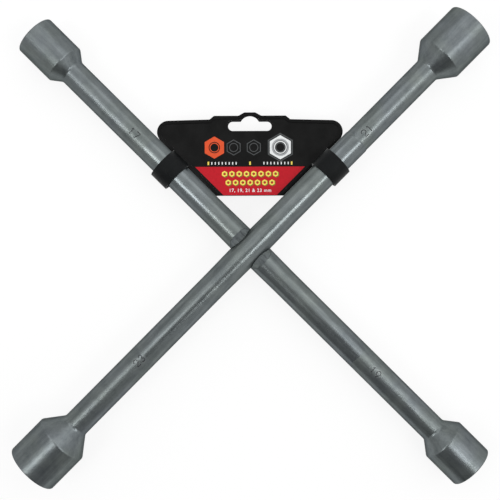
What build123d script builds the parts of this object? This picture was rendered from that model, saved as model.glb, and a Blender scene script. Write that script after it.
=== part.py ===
from build123d import *
import math
import os

# Four-way lug wrench with its retail hanger, in millimetres.
# The rear bar lies along X and the front bar along Y. +Z is the front side.
# The origin is on the resting plane, below the middle of the overall box.

# Bars: round stock, pressed flat where they cross.
bar_diameter = 15.5
press_depth = 3.75
press_length = 18.0
press_slope = 14.0
press_root_radius = 0.9
press_edge_radius = 0.5
swell_width = 0.25
swell_run = 19.0

# Sockets: each a forging with its own shank, butt-welded to a bar.
forging_length = 92.0
butt_weld_thickness = 1.0
cone_angle = 36.9
neck_radius = 3.0
shoulder_radius = 1.4
rim_radius = 0.7
hex_clearance = 0.25
hex_depth = 17.0
mouth_margin = 0.4
mouth_angle = 45.0
stud_depth = 8.0
drill_point_angle = 118.0

# One row per arm. reach runs from the crossing to the socket's mouth,
# turn is the arm's direction about Z, and side is +1 on the front bar.
ARMS = {
    "17mm": dict(
        hex_size=17.0,
        reach=175.5,
        body_diameter=25.0,
        body_length=24.2,
        shank_step=0.0,
        stud_bore=13.5,
        stamp_reach=93.4,
        turn=180,
        side=-1,
    ),
    "19mm": dict(
        hex_size=19.0,
        reach=179.5,
        body_diameter=27.5,
        body_length=22.4,
        shank_step=0.0,
        stud_bore=14.5,
        stamp_reach=100.3,
        turn=0,
        side=-1,
    ),
    "21mm": dict(
        hex_size=21.0,
        reach=178.5,
        body_diameter=29.5,
        body_length=25.8,
        shank_step=0.5,
        stud_bore=15.5,
        stamp_reach=93.0,
        turn=90,
        side=1,
    ),
    "23mm": dict(
        hex_size=23.0,
        reach=176.5,
        body_diameter=32.0,
        body_length=23.9,
        shank_step=0.0,
        stud_bore=17.0,
        stamp_reach=88.8,
        turn=270,
        side=1,
    ),
}

# Size stamps: two digits cut into each shank.
digit_height = 4.0
digit_width = 2.5
digit_gap = 1.3
stroke_width = 0.7
stamp_depth = 0.45

# Weld beads: each fills the groove beside the crossing bar and follows the
# round of its own bar. Its crown falls away from the crossing bar to a toe.
bead_crown_lift = 8.6
bead_middle_reach = 9.3
bead_middle_lift = 8.3
bead_toe_reach = 11.2
bead_toe_lift = 7.5
bead_sweep = 116.0

# Hanger plate: a moulded trapezium between two arms, with a raised rim that
# is open at the foot. It lies a little lower than halfway between the bars'
# axes. Its slanted edges reach the bars' widest lines, over one bar and under
# the other, and clear both.
plate_thickness = 1.0
plate_drop = 2.0
plate_bottom = 30.4
plate_height = 44.0
plate_corner_radius = 6.6
plate_foot_radius = 1.0
plate_top_fall = 1.0
header_rise = 2.1
header_half_width = 20.7
header_slope = 2.5
hump_rise = 1.9
hump_half_width = 3.1
hump_slope = 3.5
hump_radius = 1.5
rim_width = 2.0
rim_height = 0.3

# Hanging slot.
slot_width = 25.1
slot_height = 5.3
slot_drop = 4.0
slot_arch_radius = 5.85

# Printed label inside the rim.
label_thickness = 0.15
label_margin = 0.2
label_slot_margin = 0.8

# Straps: each band goes round a bar and is pinned behind the plate.
strap_reach = 65.0
strap_width = 12.4
strap_thickness = 1.2
strap_clearance = 0.1
strap_bend_radius = 1.3
strap_notch_gap = 0.5
strap_side_gap = 0.2
strap_return_bend = 4.0
strap_return_margin = 1.7
strap_tail_margin = 0.5
strap_tail_gap = 0.1
LEFT_SLACK = 0.5
RIGHT_SLACK = 0.15

# Pegs moulded on the plate, and the caps pressed on them.
peg_diameter = 3.0
peg_reach = 20.5
peg_clearance = 0.15
cap_diameter = 7.0
cap_thickness = 1.4
cap_edge_radius = 0.4

bar_radius = bar_diameter / 2
axis_lift = bar_radius - press_depth
notch_reach = bar_radius + strap_clearance + strap_thickness + strap_notch_gap
plate_back = -plate_thickness / 2
plate_front = plate_thickness / 2
tail_stack = 2 * strap_thickness + strap_tail_gap
return_reach = peg_reach - cap_diameter / 2 - strap_return_margin
tail_reach = peg_reach + cap_diameter / 2 + strap_tail_margin

# Round solids start and end on the side that lies on the table.
underside = Rot(180, 0, 0)

# The crossing is placed so that the whole wrench sits over the origin.
crossing = Vector(
    (ARMS["17mm"]["reach"] - ARMS["19mm"]["reach"]) / 2,
    (ARMS["23mm"]["reach"] - ARMS["21mm"]["reach"]) / 2,
    max(arm["body_diameter"] / 2 - arm["side"] * axis_lift for arm in ARMS.values()),
)


def on_arm(shape, arm):
    """Move a shape modelled along +X, on its bar's axis, to its arm."""
    axis = crossing + Vector(0, 0, arm["side"] * axis_lift)
    return Pos(axis) * Rot(0, 0, arm["turn"]) * shape


def seam_reach(arm):
    """Distance from the crossing to the outer face of the arm's butt weld."""
    return arm["reach"] - forging_length


def press_cut():
    """The tool that flattens a bar: a trough with sloping, rounded ends."""
    half = press_length / 2
    flat = axis_lift
    top = bar_diameter
    spread = (top - flat) * math.tan(math.radians(press_slope))
    outline = Polyline(
        (-half, flat), (half, flat), (half + spread, top), (-half - spread, top), close=True
    )
    trough = Plane.XZ * make_face(outline)
    trough = extrude(trough, bar_diameter, both=True)
    roots = trough.edges().filter_by(Axis.Y).group_by(Axis.Z)[0]
    return fillet(roots, press_root_radius)


def make_bar(negative_arm, positive_arm):
    """A bar along X between its two butt welds, flat where it meets the other."""
    half = press_length / 2
    run_end = half + swell_run
    swollen = bar_radius + swell_width
    left_end = butt_weld_thickness - seam_reach(negative_arm)
    right_end = seam_reach(positive_arm) - butt_weld_thickness
    outline = Polyline(
        (left_end, 0),
        (left_end, bar_radius),
        (-run_end, bar_radius),
        (-half, swollen),
        (half, swollen),
        (run_end, bar_radius),
        (right_end, bar_radius),
        (right_end, 0),
        close=True,
    )
    facing = -positive_arm["side"]
    bar = revolve(underside * Plane.XZ * make_face(outline), Axis.X)
    bar -= press_cut() if facing > 0 else underside * press_cut()
    shoulders = [
        edge
        for edge in bar.edges()
        if half < abs(edge.center().X) < run_end
        and edge.center().Z * facing > axis_lift + press_root_radius
    ]
    return fillet(shoulders, press_edge_radius)


def build_bars():
    rear = make_bar(ARMS["17mm"], ARMS["19mm"])
    front = make_bar(ARMS["23mm"], ARMS["21mm"])
    return {
        "rear_bar": on_arm(rear, ARMS["19mm"]),
        "front_bar": on_arm(front, ARMS["21mm"]),
    }


def forging_body(arm):
    """The outside of a socket forging: shank, cone and cylinder."""
    shank_radius = bar_radius - arm["shank_step"] / 2
    body_radius = arm["body_diameter"] / 2
    body_start = arm["reach"] - arm["body_length"]
    cone_length = (body_radius - shank_radius) / math.tan(math.radians(cone_angle))
    neck_reach = body_start - cone_length
    outline = Polyline(
        (seam_reach(arm), 0),
        (seam_reach(arm), shank_radius),
        (neck_reach, shank_radius),
        (body_start, body_radius),
        (arm["reach"], body_radius),
        (arm["reach"], 0),
        close=True,
    )
    body = revolve(underside * Plane.XZ * make_face(outline), Axis.X)
    roundings = ((neck_reach, neck_radius), (body_start, shoulder_radius), (arm["reach"], rim_radius))
    for distance, radius in roundings:
        rings = body.edges().filter_by(GeomType.CIRCLE)
        ring = rings.sort_by(lambda edge: abs(edge.center().X - distance))[0]
        body = fillet(ring, radius)
    return body


def socket_hollow(arm):
    """Everything cut from the mouth: lead-in, hexagon, stud bore and drill point."""
    inward = Plane(origin=(arm["reach"], 0, 0), x_dir=(0, 1, 0), z_dir=(-1, 0, 0))
    half_flats = (arm["hex_size"] + hex_clearance) / 2
    corner = half_flats / math.cos(math.radians(30))
    bore_radius = arm["stud_bore"] / 2
    mouth_radius = corner + mouth_margin
    lead_length = (mouth_radius - half_flats) / math.tan(math.radians(mouth_angle))
    point_length = bore_radius / math.tan(math.radians(drill_point_angle / 2))
    hexagon = extrude(inward * RegularPolygon(corner, 6), hex_depth)
    bore = extrude(inward * Circle(bore_radius), hex_depth + stud_depth)
    lead = inward * Pos(0, 0, lead_length / 2) * Cone(mouth_radius, half_flats, lead_length)
    point_middle = hex_depth + stud_depth + point_length / 2
    point = inward * Pos(0, 0, point_middle) * Cone(bore_radius, 0, point_length)
    return hexagon + bore + lead + point


def digit_strokes(digit):
    """Centre lines of one digit in a box of digit_width by digit_height."""
    w = digit_width
    h = digit_height
    r = w / 2
    q = h / 4
    if digit == "0":
        ends = [CenterArc((r, h - r), r, 0, 180), CenterArc((r, r), r, 180, 180)]
        return ends + [Line((x, r), (x, h - r)) for x in (0, w)]
    if digit == "1":
        return [Line((r, 0), (r, h)), Line((r, h), (r / 3, 3 * q))]
    if digit == "2":
        bowl = CenterArc((r, h - r), r, 180, -215)
        return [bowl, Line(bowl @ 1, (0, 0)), Line((0, 0), (w, 0))]
    if digit == "3":
        return [CenterArc((r, 3 * q), q, 150, -240), CenterArc((r, q), q, 90, -240)]
    if digit == "4":
        return [Line((1.5 * r, 0), (1.5 * r, h)), Line((1.5 * r, h), (0, q)), Line((0, q), (w, q))]
    if digit == "5":
        corner = [Line((w, h), (0, h)), Line((0, h), (0, 2 * q)), Line((0, 2 * q), (r, 2 * q))]
        return corner + [CenterArc((r, q), q, 90, -240)]
    if digit == "6":
        return [Pos(w, h) * Rot(0, 0, 180) * line for line in digit_strokes("9")]
    if digit == "7":
        return [Line((0, h), (w, h)), Line((w, h), (0.8 * r, 0))]
    if digit == "8":
        return [CenterArc((r, y), q, turn, 180) for y in (q, 3 * q) for turn in (0, 180)]
    loop = [CenterArc((r, h - r), r, turn, 180) for turn in (0, 180)]
    return loop + [Line((w, h - r), (r, 0))]


def stamp_cut(arm):
    """The two digits, wrapped on the shank, as the metal that they remove."""
    shank_radius = bar_radius - arm["shank_step"] / 2
    text = str(round(arm["hex_size"]))
    length = len(text) * digit_width + (len(text) - 1) * digit_gap
    strokes = Sketch()
    for place, digit in enumerate(text):
        left = place * (digit_width + digit_gap) - length / 2
        for line in digit_strokes(digit):
            strokes += Pos(left, -digit_height / 2) * trace(line, stroke_width)
    reads_inward = arm["turn"] in (180, 270)
    turned = Rot(0, 0, 180 if reads_inward else 0) * strokes
    pillar = extrude(Pos(arm["stamp_reach"], 0, 0) * turned, bar_diameter, dir=(0, 0, 1))
    core = Rot(0, 90, 0) * Cylinder(shank_radius - stamp_depth, arm["reach"] * 2)
    return pillar - core


def build_sockets():
    nodes = {}
    for name, arm in ARMS.items():
        forging = forging_body(arm) - socket_hollow(arm) - stamp_cut(arm)
        nodes["socket_" + name] = on_arm(forging, arm)
    return nodes


def build_butt_welds():
    """A ground-flush disc of weld metal between each bar end and its forging."""
    nodes = {}
    for name, arm in ARMS.items():
        shank_radius = bar_radius - arm["shank_step"] / 2
        middle = seam_reach(arm) - butt_weld_thickness / 2
        if arm["shank_step"] == 0:
            disc = Cylinder(bar_radius, butt_weld_thickness)
        else:
            disc = Cone(bar_radius, shank_radius, butt_weld_thickness)
        disc = Pos(middle, 0, 0) * Rot(0, 90, 0) * disc
        nodes["butt_weld_" + name] = on_arm(disc, arm)
    return nodes


def build_crossing_welds():
    """A bead beside the crossing bar on each arm, less the metal of both bars."""
    own_bar = make_bar(ARMS["19mm"], ARMS["19mm"])
    crossing_bar = Pos(0, 0, 2 * axis_lift) * Rot(0, 0, 90) * make_bar(ARMS["21mm"], ARMS["21mm"])
    crown = ThreePointArc(
        (0, bead_crown_lift), (bead_middle_reach, bead_middle_lift), (bead_toe_reach, bead_toe_lift)
    )
    rest = Polyline((bead_toe_reach, bead_toe_lift), (bead_toe_reach, 0), (0, 0), (0, bead_crown_lift))
    section = Plane.XZ * make_face(Curve() + crown + rest)
    bead = Rot(-bead_sweep / 2, 0, 0) * revolve(section, Axis.X, bead_sweep)
    bead = bead - own_bar - crossing_bar
    nodes = {}
    for name, arm in ARMS.items():
        facing_bead = bead if arm["side"] < 0 else underside * bead
        nodes["crossing_weld_" + name + "_side"] = on_arm(facing_bead, arm)
    return nodes


def on_plate(shape):
    """Move a shape drawn with +Y from the crossing towards the hanging slot."""
    return Pos(crossing) * Pos(0, 0, -plate_drop) * Rot(0, 0, 45) * shape


def plate_half_width(height, inset=0.0):
    """Half the plate's width between the bars' widest lines, less an inset."""
    return height - (bar_radius + inset) * math.sqrt(2)


def plate_outline():
    """The plate's flat outline, with every corner as moulded."""
    top = plate_bottom + plate_height
    tip = top - plate_top_fall
    header = top + header_rise
    hump = header + hump_rise
    right = [
        (plate_half_width(plate_bottom), plate_bottom),
        (plate_half_width(tip), tip),
        (header_half_width + header_slope, top),
        (header_half_width, header),
        (hump_half_width + hump_slope, header),
        (hump_half_width, hump),
    ]
    left = [(-x, y) for x, y in reversed(right)]
    face = make_face(Polyline(*right, *left, close=True))
    tips = face.vertices().group_by(SortBy.DISTANCE)[-1]
    face = fillet(tips, plate_corner_radius)
    feet = face.vertices().group_by(Axis.Y)[0]
    face = fillet(feet, plate_foot_radius)
    peaks = [v for v in face.vertices() if v.Y > top + header_rise / 2]
    return fillet(peaks, hump_radius)


def plate_field(inset):
    """The plate's face inside a border that runs round all but its foot."""
    level = plate_bottom + inset + plate_foot_radius
    low = plate_half_width(plate_bottom, inset)
    high = plate_half_width(level, inset)
    foot = Polyline(
        (-low, plate_bottom), (low, plate_bottom), (high, level), (-high, level), close=True
    )
    return offset(plate_outline(), -inset) + make_face(foot)


def hanging_slot(grow=0.0):
    """The slot for a shop hook, with its round arch."""
    level = plate_bottom + plate_height - slot_drop
    height = slot_height + 2 * grow
    span = SlotOverall(slot_width + 2 * grow, height)
    arch = Circle(slot_arch_radius + grow) & Pos(0, slot_arch_radius) * Rectangle(
        2 * slot_width, 2 * slot_arch_radius
    )
    return Pos(0, level) * (span + arch)


def strap_frames():
    """Each strap's plane: x towards the plate, y up, z along the bar."""
    frames = {}
    for name, arm, slack in (
        ("strap_left", ARMS["17mm"], LEFT_SLACK),
        ("strap_right", ARMS["21mm"], RIGHT_SLACK),
    ):
        along = Vector(1, 0, 0).rotate(Axis.Z, arm["turn"])
        towards = Vector(0, 1, 0) if name == "strap_left" else Vector(-1, 0, 0)
        origin = crossing + along * strap_reach + Vector(0, 0, arm["side"] * axis_lift)
        plane = Plane(origin=origin, x_dir=towards, z_dir=towards.cross(Vector(0, 0, 1)))
        frames[name] = (plane, -arm["side"] * axis_lift - plate_drop, slack)
    return frames


def strap_path(plate_level, slack):
    """Centre line of a strap in its plane, from the front tail to the rear tail."""
    loop_radius = bar_radius + strap_clearance + slack + strap_thickness / 2
    centre = Vector(-slack, 0)
    front_level = plate_level + plate_back - strap_thickness / 2
    rear_level = front_level - strap_thickness - strap_tail_gap
    lift = front_level + strap_bend_radius
    start = math.asin(lift / (loop_radius + strap_bend_radius))
    bend_x = centre.X + (loop_radius + strap_bend_radius) * math.cos(start)
    front_tail = Line((tail_reach, front_level), (bend_x, front_level))
    bend = CenterArc((bend_x, lift), strap_bend_radius, 270, math.degrees(start) - 90)
    corner = Vector(return_reach, rear_level) - centre
    aside = math.acos(loop_radius / corner.length)
    stop = math.atan2(corner.Y, corner.X) - aside
    turn = math.degrees(stop - start) + 360
    loop = CenterArc(centre, loop_radius, math.degrees(start), turn)
    heading = math.pi / 2 + stop
    cut_back = strap_return_bend * math.tan(heading / 2)
    run = Vector(math.cos(heading), math.sin(heading))
    knee = centre + corner
    ramp = Line(loop @ 1, knee - run * cut_back)
    knee_centre = (knee.X + cut_back, rear_level - strap_return_bend)
    knee_bend = CenterArc(knee_centre, strap_return_bend, 90 + math.degrees(heading), -math.degrees(heading))
    rear_tail = Line((knee.X + cut_back, rear_level), (tail_reach, rear_level))
    return [front_tail, bend, loop, ramp, knee_bend, rear_tail]


def build_straps():
    nodes = {}
    for name, (plane, plate_level, slack) in strap_frames().items():
        side_view = trace(strap_path(plate_level, slack), strap_thickness)
        band = extrude(side_view, strap_width / 2, dir=(0, 0, 1), both=True)
        hole_radius = peg_diameter / 2 + peg_clearance
        hole = Pos(peg_reach, 0, 0) * Rot(90, 0, 0) * Cylinder(hole_radius, 4 * bar_diameter)
        nodes[name] = plane * (band - hole)
    return nodes


def strap_notches():
    """The places in the plate's slanted edges where the straps pass."""
    width = strap_width + 2 * strap_side_gap
    notches = []
    for plane, plate_level, slack in strap_frames().values():
        block = Box(2 * notch_reach, bar_diameter, width)
        notches.append(plane * Pos(0, plate_level, 0) * block)
    return notches


def pegs():
    """The two pegs on the plate's back, through both tails of each strap."""
    length = tail_stack + cap_thickness
    found = []
    for plane, plate_level, slack in strap_frames().values():
        middle = plate_level + plate_back - length / 2
        peg = Pos(peg_reach, middle, 0) * Rot(90, 0, 0) * Cylinder(peg_diameter / 2, length)
        found.append(plane * peg)
    return found


def build_plate():
    rim = plate_outline() - plate_field(rim_width)
    plate = extrude(Pos(0, 0, plate_back) * plate_outline(), plate_thickness)
    plate += extrude(Pos(0, 0, plate_front) * rim, rim_height)
    plate -= extrude(Pos(0, 0, -plate_thickness) * hanging_slot(), 4 * plate_thickness)
    plate = on_plate(plate)
    for notch in strap_notches():
        plate -= notch
    for peg in pegs():
        plate += peg
    return {"hanger_plate": plate}


def build_label():
    face = plate_field(rim_width + label_margin)
    face -= hanging_slot(label_slot_margin)
    sheet = extrude(Pos(0, 0, plate_front) * face, label_thickness)
    return {"printed_label": on_plate(sheet)}


def build_caps():
    """A push-on cap on each peg, tight against the strap's rear tail."""
    nodes = {}
    for name, (plane, plate_level, slack) in strap_frames().items():
        middle = plate_level + plate_back - tail_stack - cap_thickness / 2
        cap = Cylinder(cap_diameter / 2, cap_thickness)
        cap = fillet(cap.edges().sort_by(Axis.Z)[-1], cap_edge_radius)
        cap -= Cylinder(peg_diameter / 2, cap_thickness)
        side = name.removeprefix("strap_")
        nodes["snap_cap_" + side] = plane * Pos(peg_reach, middle, 0) * Rot(90, 0, 0) * cap
    return nodes


def build_all():
    nodes = build_bars()
    nodes.update(build_crossing_welds())
    nodes.update(build_sockets())
    nodes.update(build_butt_welds())
    nodes.update(build_plate())
    nodes.update(build_label())
    nodes.update(build_straps())
    nodes.update(build_caps())
    return nodes


os.makedirs("parts", exist_ok=True)
for node_name, node_shape in build_all().items():
    export_step(node_shape, "parts/" + node_name + ".step")
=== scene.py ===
import math

import bpy
from mathutils import Matrix, Vector


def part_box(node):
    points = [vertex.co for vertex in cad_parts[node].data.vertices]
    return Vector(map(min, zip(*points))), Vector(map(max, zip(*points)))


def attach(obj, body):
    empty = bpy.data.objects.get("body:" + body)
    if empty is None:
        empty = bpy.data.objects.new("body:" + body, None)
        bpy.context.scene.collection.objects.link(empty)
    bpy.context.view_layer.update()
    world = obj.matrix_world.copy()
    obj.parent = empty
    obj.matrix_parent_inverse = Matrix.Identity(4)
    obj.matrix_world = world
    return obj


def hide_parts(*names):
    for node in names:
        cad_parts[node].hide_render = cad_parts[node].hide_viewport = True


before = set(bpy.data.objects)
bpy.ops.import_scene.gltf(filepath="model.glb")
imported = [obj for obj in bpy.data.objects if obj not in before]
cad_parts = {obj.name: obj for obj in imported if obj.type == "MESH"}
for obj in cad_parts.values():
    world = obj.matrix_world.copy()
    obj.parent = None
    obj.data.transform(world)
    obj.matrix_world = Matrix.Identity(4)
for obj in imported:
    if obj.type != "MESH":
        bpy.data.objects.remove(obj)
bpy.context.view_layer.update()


# ---------------------------------------------------------------------------
# Bars. Two lengths of round steel bar, pressed flat where they cross and laid
# flat on flat. The wrench is sprayed satin silver after it is welded, so one
# coat runs over the bars, the welds and the outside of the sockets.

def middle(node):
    low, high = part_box(node)
    return (low + high) / 2


rear_axis = middle("butt_weld_19mm")
front_axis = middle("butt_weld_21mm")
crossing = Vector((front_axis.x, rear_axis.y, (rear_axis.z + front_axis.z) / 2))


def add_node(tree, kind, **settings):
    """One node, with its settings and its sockets' values given by name."""
    node = tree.nodes.new("ShaderNode" + kind)
    for name, value in settings.items():
        if hasattr(node, name):
            setattr(node, name, value)
        else:
            feed(tree, node.inputs[name.replace("_", " ")], value)
    return node


def feed(tree, socket, value):
    """Link a socket to another node's output, or set its plain value."""
    if isinstance(value, bpy.types.NodeSocket):
        tree.links.new(value, socket)
    else:
        socket.default_value = value


def reckon(tree, operation, *values):
    """One sum, on sockets or plain numbers."""
    node = add_node(tree, "Math", operation=operation)
    for socket, value in zip(node.inputs, values):
        feed(tree, socket, value)
    return node.outputs[0]


def spread(tree, value, from_low, from_high, to_low, to_high, smooth=False):
    """Map one range of a value to another, clamped at both ends."""
    kind = "SMOOTHSTEP" if smooth else "LINEAR"
    node = add_node(tree, "MapRange", interpolation_type=kind)
    for name, number in zip(("Value", "From Min", "From Max", "To Min", "To Max"),
                            (value, from_low, from_high, to_low, to_high)):
        feed(tree, node.inputs[name], number)
    return node.outputs["Result"]


def tint(tree, factor, first, second, blend="MIX"):
    """Two colours mixed, each a socket or three numbers."""
    node = add_node(tree, "Mix", data_type="RGBA", blend_type=blend)
    feed(tree, node.inputs[0], factor)
    for socket, colour in ((node.inputs[6], first), (node.inputs[7], second)):
        feed(tree, socket, colour if isinstance(colour, bpy.types.NodeSocket) else (*colour, 1.0))
    return node.outputs[2]


def noise(tree, vector, size, detail=2.0, roughness=0.5):
    """Noise whose features are about the given size, in metres."""
    linked = isinstance(size, bpy.types.NodeSocket)
    scale = reckon(tree, "DIVIDE", 1.0, size) if linked else 1.0 / size
    node = add_node(tree, "TexNoise", Vector=vector, Scale=scale, Detail=detail,
                    Roughness=roughness)
    return node.outputs["Fac"]


def new_group(name, inputs, outputs):
    """An empty node group with named sockets."""
    group = bpy.data.node_groups.new(name, "ShaderNodeTree")
    for label, value in inputs.items():
        kind = "NodeSocketVector" if value is None else "NodeSocketFloat"
        socket = group.interface.new_socket(label, in_out="INPUT", socket_type=kind)
        if value is not None:
            socket.default_value = value
    for label in outputs:
        group.interface.new_socket(label, in_out="OUTPUT", socket_type="NodeSocketFloat")
    return group, group.nodes.new("NodeGroupInput"), group.nodes.new("NodeGroupOutput")


def place_group(tree, group, **values):
    node = add_node(tree, "Group", node_tree=group)
    for name, value in values.items():
        feed(tree, node.inputs[name.replace("_", " ")], value)
    return node


def make_coat_mottle():
    """Cloudy blotches, lengthwise streaks and grain of a thin sprayed metal coat."""
    group, given, result = new_group(
        "coat_mottle",
        {"Vector": None, "Blotch Size": 0.009, "Streak Size": 0.0016, "Grain Size": 0.0006},
        ["Tone", "Drift", "Height"],
    )
    place = given.outputs["Vector"]
    blotch = noise(group, place, given.outputs["Blotch Size"], 4.0, 0.6)
    drawn = add_node(group, "Mapping", Vector=place, Scale=(0.10, 1.0, 1.0))
    streak = noise(group, drawn.outputs[0], given.outputs["Streak Size"], 3.0, 0.55)
    grain = noise(group, place, given.outputs["Grain Size"], 2.0, 0.6)
    moved = add_node(group, "Mapping", Vector=place, Location=(3.1, 1.7, 0.4))
    drift_size = reckon(group, "MULTIPLY", given.outputs["Blotch Size"], 3.0)
    drift = noise(group, moved.outputs[0], drift_size, 2.0, 0.5)
    tone = reckon(group, "MULTIPLY", blotch, 0.45)
    tone = reckon(group, "MULTIPLY_ADD", streak, 0.40, tone)
    tone = reckon(group, "MULTIPLY_ADD", grain, 0.15, tone)
    height = reckon(group, "MULTIPLY_ADD", grain, 0.12, reckon(group, "MULTIPLY", blotch, 1.6))
    height = reckon(group, "MULTIPLY_ADD", streak, 0.18, height)
    group.links.new(tone, result.inputs["Tone"])
    group.links.new(drift, result.inputs["Drift"])
    group.links.new(height, result.inputs["Height"])
    return group


def make_edge_and_hollow_masks():
    """Masks of the outer edges, for rubbed wear with a painted highlight, and of the hollows and
    corners, for painted shade with some grime.
    """
    group, given, result = new_group(
        "edge_and_hollow_masks", {"Width": 0.0012, "Break": 0.5}, ["Edge", "Cavity"]
    )
    inner = add_node(group, "AmbientOcclusion", samples=6, only_local=True, inside=True)
    outer = add_node(group, "AmbientOcclusion", samples=6, only_local=True)
    for node in (inner, outer):
        group.links.new(given.outputs["Width"], node.inputs["Distance"])
    edge = spread(group, inner.outputs["AO"], 0.35, 0.80, 1.0, 0.0)
    broken = spread(group, given.outputs["Break"], 0.40, 0.60, 0.25, 1.0)
    group.links.new(reckon(group, "MULTIPLY", edge, broken), result.inputs["Edge"])
    cavity = spread(group, outer.outputs["AO"], 0.45, 0.95, 1.0, 0.0)
    group.links.new(cavity, result.inputs["Cavity"])
    return group


def make_fine_scratches():
    """Sparse hairline scratches, in two directions."""
    group, given, result = new_group(
        "fine_scratches", {"Vector": None, "Length": 0.012, "Width": 0.0001}, ["Mask"]
    )
    stretch = reckon(group, "DIVIDE", given.outputs["Width"], given.outputs["Length"])
    marks = []
    for turn, slide in ((0.35, 0.0), (-0.8, 5.3)):
        ratio = add_node(group, "CombineXYZ", X=stretch, Y=1.0, Z=1.0)
        lay = add_node(group, "Mapping", Vector=given.outputs["Vector"],
                       Location=(slide, 0.0, 0.0), Rotation=(0.0, 0.4, turn))
        drawn = add_node(group, "VectorMath", operation="MULTIPLY")
        group.links.new(lay.outputs[0], drawn.inputs[0])
        group.links.new(ratio.outputs[0], drawn.inputs[1])
        line = noise(group, drawn.outputs[0], given.outputs["Width"], 0.0, 0.5)
        marks.append(spread(group, line, 0.74, 0.80, 0.0, 1.0))
    group.links.new(reckon(group, "MAXIMUM", *marks), result.inputs["Mask"])
    return group


coat_mottle = make_coat_mottle()
edge_and_hollow_masks = make_edge_and_hollow_masks()
fine_scratches = make_fine_scratches()

COAT_DARK = (0.112, 0.125, 0.128)
COAT_LIGHT = (0.188, 0.204, 0.204)
COAT_GREENISH = (0.98, 1.01, 0.98)
COAT_BLUISH = (0.97, 0.99, 1.03)
# Painted shade with some grime, multiplied into the coat in its hollows.
COAT_HOLLOW_SHADE_AND_GRIME = (0.34, 0.36, 0.41)
# Lighter worn coat, for scratches and for outer edges that carry rubbed wear with a painted
# highlight.
COAT_WORN_AND_HIGHLIGHT = (0.40, 0.42, 0.42)
# Painted shade, put deep in a recess.
RECESS_DEPTH_SHADE = (0.050, 0.048, 0.046)
HEAD_ON_TINT = 0.35


def new_material(name):
    """A material's tree, its Principled shader and its Object coordinates."""
    material = bpy.data.materials.new(name)
    material.use_nodes = True
    tree = material.node_tree
    place = add_node(tree, "TexCoord").outputs["Object"]
    return material, tree, tree.nodes["Principled BSDF"], place


def satin_steel(name, seams=None, turn=0.0, blotch=0.009, grain=0.0006, gloss=0.28,
                relief=0.15, wear=0.7, recess=False):
    """Satin silver coat on steel. turn lays its streaks along the bar, and seams
    are the two welds near which the ground surface gets no lightened edge. Its
    hollows get painted shade with some grime, its outer edges rubbed wear with a
    painted highlight, and a recess painted shade that deepens inwards."""
    material, tree, shader, place = new_material(name)
    lay = add_node(tree, "Mapping", Vector=place, Rotation=(0.0, 0.0, turn)).outputs[0]
    coat = place_group(tree, coat_mottle, Vector=lay, Blotch_Size=blotch, Grain_Size=grain)
    tone = spread(tree, coat.outputs["Tone"], 0.34, 0.66, 0.0, 1.0)
    colour = tint(tree, tone, COAT_DARK, COAT_LIGHT)
    drift = spread(tree, coat.outputs["Drift"], 0.35, 0.65, 0.0, 1.0)
    colour = tint(tree, 1.0, colour, tint(tree, drift, COAT_GREENISH, COAT_BLUISH), "MULTIPLY")
    masks = place_group(tree, edge_and_hollow_masks, Width=0.0011, Break=coat.outputs["Tone"])
    # Hollows, corners and stamped figures are darkened: painted shade with some grime.
    colour = tint(tree, reckon(tree, "MULTIPLY", masks.outputs["Cavity"], 0.8), colour,
                  tint(tree, 1.0, colour, COAT_HOLLOW_SHADE_AND_GRIME, "MULTIPLY"))
    # Outer edges are lightened: rubbed wear with a painted highlight.
    rubbed = reckon(tree, "MULTIPLY", masks.outputs["Edge"], wear)
    if seams:
        first, second = (middle(node) for node in seams)
        across = add_node(tree, "VectorMath", operation="SUBTRACT")
        feed(tree, across.inputs[0], place)
        across.inputs[1].default_value = (first + second) / 2
        reach = add_node(tree, "VectorMath", operation="DOT_PRODUCT")
        feed(tree, reach.inputs[0], across.outputs[0])
        reach.inputs[1].default_value = (second - first).normalized()
        reach = reckon(tree, "ABSOLUTE", reach.outputs["Value"])
        gap = reckon(tree, "SUBTRACT", reach, (second - first).length / 2)
        gap = reckon(tree, "ABSOLUTE", gap)
        rubbed = reckon(tree, "MULTIPLY", rubbed, spread(tree, gap, 0.002, 0.005, 0.0, 1.0))
    colour = tint(tree, rubbed, colour, COAT_WORN_AND_HIGHLIGHT)
    scratches = place_group(tree, fine_scratches, Vector=lay).outputs["Mask"]
    colour = tint(tree, reckon(tree, "MULTIPLY", scratches, 0.20), colour, COAT_WORN_AND_HIGHLIGHT)
    dull = spread(tree, coat.outputs["Drift"], 0.35, 0.65, gloss + 0.03, gloss - 0.02)
    # Deep in a recess the coat is darkened as painted shade, more the deeper it goes, and made
    # rougher.
    if recess:
        depth = add_node(tree, "AmbientOcclusion", samples=6, only_local=True, Distance=0.012)
        depth_shade = spread(tree, depth.outputs["AO"], 0.25, 0.62, 1.0, 0.0)
        colour = tint(tree, depth_shade, colour, RECESS_DEPTH_SHADE)
        dull = reckon(tree, "MULTIPLY_ADD", depth_shade, 0.18, dull)
    feed(tree, shader.inputs["Base Color"], colour)
    feed(tree, shader.inputs["Roughness"], dull)
    shader.inputs["Metallic"].default_value = 1.0
    shader.inputs["Specular Tint"].default_value = (HEAD_ON_TINT, HEAD_ON_TINT, HEAD_ON_TINT, 1.0)
    height = reckon(tree, "MULTIPLY_ADD", scratches, -0.02, coat.outputs["Height"])
    bump = add_node(tree, "Bump", Strength=relief, Distance=0.0001, Height=height)
    feed(tree, shader.inputs["Normal"], bump.outputs["Normal"])
    return material


def finish_node(node, material):
    """Give a node of the frame its finish."""
    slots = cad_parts[node].data.materials
    slots.clear()
    slots.append(material)


rear_seams = ("butt_weld_17mm", "butt_weld_19mm")
front_seams = ("butt_weld_23mm", "butt_weld_21mm")
finish_node("rear_bar", satin_steel("satin_silver_rear_bar", rear_seams))
finish_node("front_bar", satin_steel("satin_silver_front_bar", front_seams, -math.pi / 2))


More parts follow.
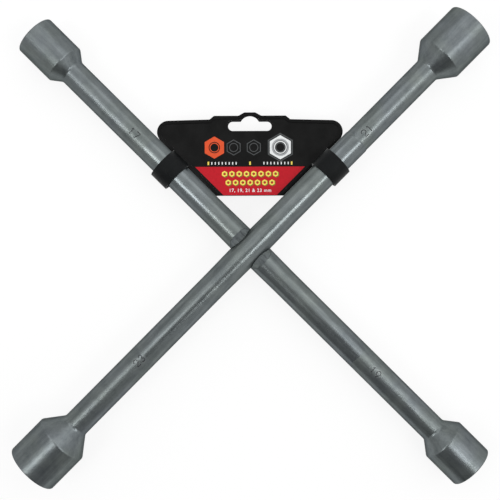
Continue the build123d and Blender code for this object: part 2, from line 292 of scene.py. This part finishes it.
# ---------------------------------------------------------------------------
# Sockets. Each is a steel forging: a hexagon recess is punched in its mouth and
# its size is stamped on its shank. The forged skin is rougher than the drawn
# bar, and deep inside the recess the coat is painted darker, as shade, and rougher.

for seams, turn in ((rear_seams, 0.0), (front_seams, -math.pi / 2)):
    forged = satin_steel("satin_silver_forged_" + seams[0][-4:], seams, turn, blotch=0.006,
                         grain=0.0008, gloss=0.34, relief=0.3, recess=True)
    for seam in seams:
        finish_node(seam.replace("butt_weld", "socket"), forged)


# ---------------------------------------------------------------------------
# Butt welds. Each forging is friction-welded to the end of its bar, and the
# upset ring is turned off flush, so that only the coat's own mottle shows.

for seams, turn in ((rear_seams, 0.0), (front_seams, -math.pi / 2)):
    ground = satin_steel("satin_silver_ground_" + seams[0][-4:], None, turn, wear=0.0)
    for seam in seams:
        finish_node(seam, ground)


# ---------------------------------------------------------------------------
# Crossing welds. A short bead is run in the groove on each side of both bars,
# where they cross, and it is coated with them. It climbs the side of the
# crossing bar, has the ripples of a hand-run weld, and tapers to both ends.

MM = 0.001
BAR_RADIUS = 7.75 * MM
half_lift = (front_axis.z - rear_axis.z) / 2
bead_half_length = 7.25 * MM
bead_root = -1.6 * MM
bead_end_height = 3.6 * MM
bead_climb = 9.9 * MM
bead_toe_reach = 4.0 * MM
bead_toe_half_length = 8.2 * MM
bead_clearance = 0.04 * MM
ripple_pitch = 1.3 * MM
ripple_height = 0.02 * MM


def alone(piece):
    """Select one object and nothing else."""
    bpy.ops.object.select_all(action="DESELECT")
    piece.select_set(True)
    bpy.context.view_layer.objects.active = piece


def bead_point(along, across, phase):
    """A point of the bead's face: along runs -1 to 1 over the bar, and across
    from the crossing bar's side, 0, to the toe on its own bar, 1."""
    y = along * bead_half_length
    taper = 1 - along * along
    top = bead_end_height + bead_climb * taper ** 0.15
    top_x = math.sqrt(BAR_RADIUS ** 2 - (top - 2 * half_lift) ** 2) - bead_clearance
    toe = 0.7 * math.sqrt(BAR_RADIUS ** 2 - y * y) + 0.3 * BAR_RADIUS - 0.06 * MM
    toe_x = BAR_RADIUS + bead_toe_reach * math.sqrt(1 - (y / bead_toe_half_length) ** 2)
    toe_x += 0.15 * MM * math.sin(y / (0.45 * MM) + phase)
    bend_x = top_x + 0.72 * (toe_x - top_x)
    bend = toe + 0.25 * (top - toe)
    first, second, third = (1 - across) ** 2, 2 * across * (1 - across), across ** 2
    waves = (y + 2.0 * MM * (across - 0.5) ** 2) * 2 * math.pi / ripple_pitch
    ripple = ripple_height * math.sin(waves + phase) * math.sin(math.pi * across) * taper ** 0.5
    return Vector((first * top_x + second * bend_x + third * toe_x + ripple, y,
                   first * top + second * bend + third * toe + ripple - half_lift))


def make_bead(name, turn, flipped):
    """One bead, on the bar that runs along the turned +X, above it or below."""
    bpy.ops.object.select_all(action="DESELECT")
    bpy.ops.mesh.primitive_grid_add(x_subdivisions=10, y_subdivisions=80, size=2.0)
    piece = bpy.context.object
    piece.name = name + "_bead"
    for vertex in piece.data.vertices:
        vertex.co = bead_point(vertex.co.y, (vertex.co.x + 1) / 2, turn)
    bpy.ops.object.mode_set(mode="EDIT")
    bpy.ops.mesh.select_all(action="SELECT")
    bpy.ops.mesh.extrude_region_move(TRANSFORM_OT_translate={"value": (0, 0, -4 * MM)})
    bpy.ops.transform.resize(value=(1, 1, 0), center_override=(0, 0, bead_root))
    bpy.ops.mesh.select_all(action="SELECT")
    bpy.ops.mesh.normals_make_consistent(inside=False)
    bpy.ops.object.mode_set(mode="OBJECT")
    bpy.ops.object.shade_smooth_by_angle(angle=math.radians(50))
    piece.location = crossing
    piece.rotation_euler = (math.pi if flipped else 0.0, 0.0, turn)
    bpy.ops.object.transform_apply(location=True, rotation=True, scale=True)
    piece.data.materials.append(bead_finish)
    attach(piece, "root")
    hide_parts(name)


bead_finish = satin_steel("satin_silver_weld", None, blotch=0.004, grain=0.0005, gloss=0.33,
                          relief=0.25, wear=0.3)
make_bead("crossing_weld_19mm_side", 0.0, False)
make_bead("crossing_weld_17mm_side", math.pi, False)
make_bead("crossing_weld_21mm_side", math.pi / 2, True)
make_bead("crossing_weld_23mm_side", -math.pi / 2, True)


# ---------------------------------------------------------------------------
# Hanger plate. A black moulded plastic trapezium with a raised rim, which
# stands between two arms and hangs the wrench on a shop peg.

def make_moulded_grain():
    """The fine spark-eroded grain of a moulded plastic, with cloudy sheen."""
    group, given, result = new_group("moulded_grain", {"Vector": None, "Grain Size": 0.0004},
                                     ["Tone", "Height"])
    place = given.outputs["Vector"]
    grain = noise(group, place, given.outputs["Grain Size"], 2.0, 0.6)
    cloud_size = reckon(group, "MULTIPLY", given.outputs["Grain Size"], 25.0)
    cloud = noise(group, place, cloud_size, 3.0, 0.55)
    tone = reckon(group, "MULTIPLY_ADD", grain, 0.4, reckon(group, "MULTIPLY", cloud, 0.6))
    group.links.new(tone, result.inputs["Tone"])
    group.links.new(grain, result.inputs["Height"])
    return group


moulded_grain = make_moulded_grain()


def black_plastic(name, dark, light, worn, dull, gleam, grain=0.0004, relief=0.25, wear=0.6,
                  glaze=0.5):
    """Moulded plastic or varnished print, with rubbed edges and fine scratches. dull
    is its roughness, and gleam and glaze set how much it shines."""
    material, tree, shader, place = new_material(name)
    skin = place_group(tree, moulded_grain, Vector=place, Grain_Size=grain)
    tone = spread(tree, skin.outputs["Tone"], 0.35, 0.65, 0.0, 1.0)
    colour = tint(tree, tone, dark, light)
    masks = place_group(tree, edge_and_hollow_masks, Width=0.0007, Break=skin.outputs["Tone"])
    colour = tint(tree, reckon(tree, "MULTIPLY", masks.outputs["Edge"], wear), colour, worn)
    scratches = place_group(tree, fine_scratches, Vector=place, Length=0.006, Width=0.00008)
    colour = tint(tree, reckon(tree, "MULTIPLY", scratches.outputs["Mask"], 0.35), colour, worn)
    feed(tree, shader.inputs["Base Color"], colour)
    sheen = spread(tree, skin.outputs["Tone"], 0.35, 0.65, dull + 0.06, dull - 0.06)
    feed(tree, shader.inputs["Roughness"], sheen)
    shader.inputs["Specular IOR Level"].default_value = glaze
    shader.inputs["Specular Tint"].default_value = (gleam, gleam, gleam, 1.0)
    bump = add_node(tree, "Bump", Strength=relief, Distance=0.00003,
                    Height=skin.outputs["Height"])
    feed(tree, shader.inputs["Normal"], bump.outputs["Normal"])
    return material


plate_black = black_plastic("plate_black", (0.0026, 0.0026, 0.0027), (0.0038, 0.0038, 0.0039),
                            (0.020, 0.021, 0.021), dull=0.38, gleam=0.16)


def soft_copy(node, name):
    """A copy of a node's mesh, merged, to be given its finer shape."""
    piece = bpy.data.objects.new(name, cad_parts[node].data.copy())
    bpy.context.scene.collection.objects.link(piece)
    alone(piece)
    bpy.ops.object.mode_set(mode="EDIT")
    bpy.ops.mesh.select_all(action="SELECT")
    bpy.ops.mesh.remove_doubles(threshold=0.000002)
    bpy.ops.mesh.dissolve_limited(angle_limit=math.radians(0.5))
    bpy.ops.mesh.normals_make_consistent(inside=False)
    bpy.ops.object.mode_set(mode="OBJECT")
    return piece


def soften(piece, node, material, width):
    """Round off a copy's edges, and let it stand for its node."""
    alone(piece)
    rounding = piece.modifiers.new("rounding", "BEVEL")
    rounding.width = width
    rounding.segments = 2
    rounding.limit_method = "ANGLE"
    rounding.angle_limit = math.radians(50)
    bpy.ops.object.modifier_apply(modifier="rounding")
    bpy.ops.object.shade_smooth_by_angle(angle=math.radians(35))
    piece.data.materials.clear()
    piece.data.materials.append(material)
    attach(piece, "root")
    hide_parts(node)


# The plate's left edge tucks in against its bar, and its notches fit the straps.
up_hill = Vector((-1.0, 1.0, 0.0)).normalized()
side_way = Vector((1.0, 1.0, 0.0)).normalized()
plate = soft_copy("hanger_plate", "hanger_moulding")
strap_places = {"left": (middle("strap_left").x, 0), "right": (middle("strap_right").y, 1)}
notch_half = 6.6 * MM
notch_floor = (9.3 * MM, 9.8 * MM)
edge_reach = 7.9 * MM
for vertex in plate.data.vertices:
    place = vertex.co - crossing
    reach = (place.y, -place.x)
    for row, (centre, axis) in enumerate(strap_places.values()):
        beside = abs(vertex.co[axis] - centre) < notch_half
        if beside and notch_floor[0] < reach[row] < notch_floor[1]:
            vertex.co[1 - axis] -= (0.35 * MM if row == 0 else -0.35 * MM)
        if beside and reach[row] < notch_floor[1]:
            vertex.co[axis] -= math.copysign(0.14 * MM, vertex.co[axis] - centre)
    if reach[0] < edge_reach:
        vertex.co.y -= 0.10 * MM
soften(plate, "hanger_plate", plate_black, 0.15 * MM)
# The bars mirror the bright table beside them, and not the card.
plate.visible_glossy = False
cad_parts["printed_label"].visible_glossy = False
for side in ("left", "right"):
    finish_node("snap_cap_" + side, plate_black)


# ---------------------------------------------------------------------------
# Printed label. A thin black sheet, printed and satin varnished, glued inside
# the plate's rim. The prints are films of ink a few hundredths of a millimetre
# thick: a red panel with the four sizes, and a scale and a row of nuts above it.

label_black = black_plastic("label_black", (0.0020, 0.0021, 0.0021), (0.0032, 0.0033, 0.0033),
                            (0.016, 0.016, 0.016), dull=0.32, gleam=0.16, grain=0.0003,
                            relief=0.12, wear=0.3)
finish_node("printed_label", label_black)

label_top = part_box("printed_label")[1].z
ink_film = 0.01 * MM


def settle_print(piece, name, ink, at=(0.0, 0.0), lift=0.0):
    """Lay a print on the label, at its place up the plate from the crossing."""
    alone(piece)
    piece.name = name
    piece.location = crossing + side_way * (at[0] * MM) + up_hill * (at[1] * MM)
    piece.location.z = label_top + lift
    piece.rotation_euler.z = math.radians(45)
    bpy.ops.object.transform_apply(location=True, rotation=True, scale=True)
    piece.data.materials.clear()
    piece.data.materials.append(ink)
    piece.visible_glossy = False
    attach(piece, "root")


def printing_ink(name, colour, dull=0.36):
    """Ink over a screen of fine dots, slightly uneven in its cover."""
    material, tree, shader, place = new_material(name)
    cover = noise(tree, place, 0.0012, 3.0, 0.6)
    thin = tuple(0.90 * value for value in colour)
    shade = tint(tree, spread(tree, cover, 0.35, 0.65, 0.0, 1.0), thin, colour)
    dots = add_node(tree, "TexVoronoi", feature="F1", Vector=place, Scale=1 / 0.00018)
    screen = spread(tree, dots.outputs["Distance"], 0.2, 0.6, 0.0, 0.06)
    shade = tint(tree, screen, shade, tuple(0.5 * value for value in colour))
    feed(tree, shader.inputs["Base Color"], shade)
    sheen = spread(tree, cover, 0.35, 0.65, dull + 0.04, dull - 0.04)
    feed(tree, shader.inputs["Roughness"], sheen)
    shader.inputs["Specular Tint"].default_value = (0.2, 0.2, 0.2, 1.0)
    bump = add_node(tree, "Bump", Strength=0.1, Distance=0.00001, Height=cover)
    feed(tree, shader.inputs["Normal"], bump.outputs["Normal"])
    return material


panel_red = printing_ink("ink_red", (0.47, 0.0105, 0.0200))
nut_orange = printing_ink("ink_orange", (0.66, 0.085, 0.028))
figure_yellow = printing_ink("ink_yellow", (0.84, 0.66, 0.11))
figure_green = printing_ink("ink_green", (0.10, 0.19, 0.03))
print_white = printing_ink("ink_white", (0.74, 0.76, 0.76))
print_silver = printing_ink("ink_silver", (0.34, 0.35, 0.36))
print_grey = printing_ink("ink_grey", (0.075, 0.080, 0.082))


def raise_film(films):
    """Draw the active flat mesh out upwards, and face it outwards."""
    bpy.ops.object.mode_set(mode="EDIT")
    bpy.ops.mesh.select_all(action="SELECT")
    bpy.ops.mesh.extrude_region_move(TRANSFORM_OT_translate={"value": (0, 0, films * ink_film)})
    bpy.ops.mesh.select_all(action="SELECT")
    bpy.ops.mesh.normals_make_consistent(inside=False)
    bpy.ops.object.mode_set(mode="OBJECT")


def set_in_row(piece, count, pitch):
    """Repeat a print to its right, as one mesh."""
    alone(piece)
    row = piece.modifiers.new("row", "ARRAY")
    row.count = count
    row.use_relative_offset = False
    row.use_constant_offset = True
    row.constant_offset_displace = (pitch * MM, 0.0, 0.0)
    bpy.ops.object.modifier_apply(modifier="row")


def print_shape(name, corners, ink, films, at=(0.0, 0.0), count=1, pitch=0.0):
    """A print with straight sides: one face, drawn out to the film's thickness."""
    bpy.ops.object.select_all(action="DESELECT")
    bpy.ops.mesh.primitive_circle_add(vertices=len(corners), radius=MM, fill_type="NGON")
    piece = bpy.context.object
    for corner, vertex in zip(corners, piece.data.vertices):
        vertex.co = (corner[0] * MM, corner[1] * MM, 0.0)
    raise_film(films)
    set_in_row(piece, count, pitch)
    settle_print(piece, name, ink, (at[0] - (count - 1) * pitch / 2, at[1]))


def print_ring(name, outer, inner, ink, films, at, sides=(6, 24), count=1, pitch=0.0):
    """A printed nut or ring: two outlines, bridged and drawn out upwards. Both
    radii and its place are in millimetres, and sides counts each outline's sides."""
    bpy.ops.object.select_all(action="DESELECT")
    bpy.ops.mesh.primitive_circle_add(vertices=sides[0], radius=outer * MM)
    piece = bpy.context.object
    bpy.ops.object.mode_set(mode="EDIT")
    bpy.ops.mesh.primitive_circle_add(vertices=sides[1], radius=inner * MM)
    bpy.ops.mesh.select_all(action="SELECT")
    bpy.ops.mesh.bridge_edge_loops()
    bpy.ops.object.mode_set(mode="OBJECT")
    raise_film(films)
    set_in_row(piece, count, pitch)
    settle_print(piece, name, ink, (at[0] - (count - 1) * pitch / 2, at[1]))


FIGURE_SHARE = 0.70  # of a font's size, the height of its figures


def print_figures(name, figures, height, ink, films, at):
    """Printed figures, with closed edges as high as the film."""
    bpy.ops.object.select_all(action="DESELECT")
    bpy.ops.object.text_add()
    piece = bpy.context.object
    piece.data.body = figures
    piece.data.align_x = "CENTER"
    piece.data.align_y = "CENTER"
    piece.data.size = height * MM / FIGURE_SHARE
    piece.data.offset = 0.04 * MM
    piece.data.space_character = 1.12
    piece.data.extrude = films * ink_film / 2
    bpy.ops.object.convert(target="MESH")
    piece = bpy.context.object
    bpy.ops.object.mode_set(mode="EDIT")
    bpy.ops.mesh.select_all(action="SELECT")
    bpy.ops.mesh.remove_doubles(threshold=0.000001)
    bpy.ops.mesh.normals_make_consistent(inside=False)
    bpy.ops.object.mode_set(mode="OBJECT")
    settle_print(piece, name, ink, at, films * ink_film / 2)


# The picture: an orange nut, two outlined in grey, and a large bright one.
picture_height = 58.2
orange_place = (-20.5, picture_height)
outlined_place = (-3.6, picture_height)
bright_place = (17.5, picture_height)
HEXAGONS = (6, 6)
RINGS = (24, 24)
print_ring("print_nut_orange", 6.4, 3.3, nut_orange, 1, orange_place)
print_ring("print_nut_orange_thread", 2.8, 2.3, nut_orange, 1, orange_place, RINGS)
print_ring("print_nut_outlines", 4.6, 4.1, print_grey, 1, outlined_place, HEXAGONS, 2, 11.6)
print_ring("print_nut_outline_bores", 2.6, 2.2, print_grey, 1, outlined_place, RINGS, 2, 11.6)
print_ring("print_nut_shade", 8.3, 7.6, print_grey, 1, bright_place, HEXAGONS)
print_ring("print_nut_bright", 7.0, 5.0, print_white, 1, bright_place)
print_ring("print_nut_chamfer", 5.0, 4.0, print_silver, 1, bright_place, RINGS)
print_ring("print_nut_bore", 3.7, 3.1, print_white, 1, bright_place, RINGS)
print_ring("print_nut_thread", 2.7, 2.3, print_grey, 1, bright_place, RINGS)

# The scale: a white tick to each two millimetres, and three longer yellow ones.
tick = [(-0.30, -0.75), (0.30, -0.75), (0.30, 0.75), (-0.30, 0.75)]
long_tick = [(-0.45, -0.95), (0.45, -0.95), (0.45, 0.95), (-0.45, 0.95)]
scale_height = 49.1
for side in (-1, 1):
    print_shape("print_ticks_" + ("right" if side > 0 else "left"), tick, print_white, 1,
                (side * 15.0, scale_height), 8, 2.0)
print_shape("print_long_ticks", long_tick, figure_yellow, 1, (0.0, scale_height), 3, 24.0)

# The red panel, with two rows of yellow nuts shaded green, over the four sizes.
panel_top = 47.1
panel_foot = 30.7
panel_slope = 15.4
print_shape(
    "print_red_panel",
    [(panel_foot - panel_slope, panel_foot), (panel_top - panel_slope, panel_top),
     (panel_slope - panel_top, panel_top), (panel_slope - panel_foot, panel_foot)],
    panel_red, 1,
)
nut_pitch = 4.2
shade_shift = 0.25
for name, height, count in (("upper", 43.0, 8), ("lower", 38.0, 7)):
    print_ring("print_nuts_%s_shade" % name, 1.95, 0.75, figure_green, 2,
               (shade_shift, height - shade_shift), (6, 12), count, nut_pitch)
    print_ring("print_nuts_" + name, 1.75, 0.8, figure_yellow, 3, (0.0, height), (6, 12),
               count, nut_pitch)
print_figures("print_sizes", "17, 19, 21 & 23 mm", 1.9, print_white, 2, (0.0, 33.4))


# ---------------------------------------------------------------------------
# Straps. Each is a band of soft black plastic, moulded matt. It goes tightly
# round a bar and through the plate's notch, and its two tails are pinned behind
# the plate. It is a little narrower outside, where it was stretched.

strap_black = black_plastic("strap_black", (0.0050, 0.0057, 0.0060), (0.0074, 0.0083, 0.0087),
                            (0.024, 0.027, 0.029), dull=0.50, gleam=0.45, glaze=0.16)
strap_inner_reach = 8 * MM
strap_breadth = 17 * MM
strap_narrowing = 0.06
for side, (centre, axis) in strap_places.items():
    strap = soft_copy("strap_" + side, "strap_band_" + side)
    for vertex in strap.data.vertices:
        outward = vertex.co - crossing
        outward = -outward.y if side == "left" else outward.x
        outward = min(max((outward + strap_inner_reach) / strap_breadth, 0.0), 1.0)
        width = 1.0 - strap_narrowing * outward
        vertex.co[axis] = centre + (vertex.co[axis] - centre) * width
    soften(strap, "strap_" + side, strap_black, 0.30 * MM)


# ---------------------------------------------------------------------------
# Table, lamps and camera. The wrench lies on a white table under a broad soft
# lamp, with a high lamp and a low one at each side for the streaks on its bars.

TABLE_GLOW = 0.85
bpy.ops.mesh.primitive_plane_add(size=12.0, location=(0, 0, -0.1 * MM))
table = bpy.context.object
table.name = "table"
paper, tree, shader, _ = new_material("white_table")
shader.inputs["Base Color"].default_value = (0.93, 0.93, 0.93, 1.0)
shader.inputs["Roughness"].default_value = 0.95
shader.inputs["Specular IOR Level"].default_value = 0.1
# The table is backlit where it is seen, so that it looks white to its edges.
seen = add_node(tree, "LightPath")
ray = reckon(tree, "ADD", seen.outputs["Is Camera Ray"], seen.outputs["Is Glossy Ray"])
ray = reckon(tree, "ADD", ray, seen.outputs["Is Transmission Ray"])
glow = add_node(tree, "Emission", Color=(1.0, 1.0, 1.0, 1.0), Strength=1.0)
layer = add_node(tree, "MixShader")
glow_share = reckon(tree, "MULTIPLY", reckon(tree, "MINIMUM", ray, 1.0), TABLE_GLOW)
feed(tree, layer.inputs[0], glow_share)
feed(tree, layer.inputs[1], shader.outputs["BSDF"])
feed(tree, layer.inputs[2], glow.outputs[0])
feed(tree, tree.nodes["Material Output"].inputs["Surface"], layer.outputs[0])
table.data.materials.append(paper)


def add_lamp(name, across, up, height, width, length, radiance, level=False):
    """A soft rectangular lamp over the table. It looks at the crossing, or
    straight down where it is level."""
    data = bpy.data.lights.new(name, "AREA")
    data.shape = "RECTANGLE"
    data.size = width
    data.size_y = length
    data.energy = radiance * math.pi * width * length
    lamp = bpy.data.objects.new(name, data)
    bpy.context.scene.collection.objects.link(lamp)
    place = crossing + side_way * across + up_hill * up + Vector((0, 0, height))
    back = Vector((0, 0, 1)) if level else (place - crossing).normalized()
    across_lamp = up_hill.cross(back).normalized()
    along_lamp = back.cross(across_lamp)
    turn = Matrix((across_lamp, along_lamp, back)).transposed().to_4x4()
    lamp.matrix_world = Matrix.Translation(place) @ turn


add_lamp("soft_box", 0.14, 0.43, 0.60, 1.28, 0.90, 0.92, level=True)
add_lamp("left_lamp", -0.677, -0.313, 1.20, 0.42, 0.27, 7.6)
add_lamp("right_lamp", 0.571, -0.380, 1.20, 0.42, 0.26, 7.6)
add_lamp("left_fill_lamp", -0.265, -0.020, 0.60, 0.20, 0.19, 1.9)
add_lamp("right_fill_lamp", 0.392, -0.012, 0.60, 0.23, 0.21, 2.3)

# The sky is dim overhead and on the near side, and pale towards the walls.
SKY_OVERHEAD = 0.26
SKY_AT_WALLS = 0.86
SKY_SIDE_TILT = 0.13
world = bpy.data.worlds.new("studio")
bpy.context.scene.world = world
world.use_nodes = True
tree = world.node_tree
sky = tree.nodes["Background"]
sky.inputs["Color"].default_value = (1.0, 1.0, 1.0, 1.0)
direction = add_node(tree, "TexCoord").outputs["Generated"]


def towards(tree, way):
    """How far a direction goes one way, for each unit that it rises."""
    lean = add_node(tree, "VectorMath", operation="DOT_PRODUCT")
    feed(tree, lean.inputs[0], direction)
    lean.inputs[1].default_value = way
    return reckon(tree, "DIVIDE", lean.outputs["Value"], risen)


risen = add_node(tree, "SeparateXYZ", Vector=direction).outputs["Z"]
risen = reckon(tree, "MAXIMUM", risen, 0.02)
up_lean = towards(tree, up_hill)
side_lean = towards(tree, side_way)
run = reckon(tree, "SQRT", reckon(tree, "MULTIPLY_ADD", up_lean, up_lean,
                                  reckon(tree, "MULTIPLY", side_lean, side_lean)))
run = reckon(tree, "MAXIMUM", run, 0.01)
beside = reckon(tree, "MULTIPLY_ADD", reckon(tree, "ABSOLUTE", side_lean), 1.4,
                reckon(tree, "MULTIPLY_ADD", side_lean, 0.3, up_lean))
outside = spread(tree, reckon(tree, "DIVIDE", beside, run), -0.15, 0.30, 0.0, 1.0, smooth=True)
outwards = spread(tree, run, 0.45, 1.20, 0.0, 1.0, smooth=True)
wall = reckon(tree, "DIVIDE", side_lean, run)
wall = reckon(tree, "MULTIPLY_ADD", wall, SKY_SIDE_TILT, SKY_AT_WALLS)
strength = add_node(tree, "Mix", data_type="FLOAT")
feed(tree, strength.inputs[0], reckon(tree, "MULTIPLY", outside, outwards))
strength.inputs[2].default_value = SKY_OVERHEAD
feed(tree, strength.inputs[3], wall)
feed(tree, sky.inputs["Strength"], strength.outputs[0])

# The camera looks straight down on the front side, the hanger uppermost.
VIEW_ANGLE = math.radians(31.34)
CAMERA_HEIGHT = 0.512
camera_data = bpy.data.cameras.new("camera")
camera_data.sensor_width = 36.0
camera_data.lens = 18.0 / math.tan(VIEW_ANGLE / 2)
camera_data.clip_start = 0.01
camera = bpy.data.objects.new("camera", camera_data)
bpy.context.scene.collection.objects.link(camera)
camera.location = crossing - up_hill * 0.89 * MM - side_way * 0.25 * MM
camera.location.z += CAMERA_HEIGHT
camera.rotation_euler = (0, 0, math.radians(45 - 0.27))
bpy.context.scene.camera = camera
bpy.context.scene.view_settings.view_transform = "Standard"
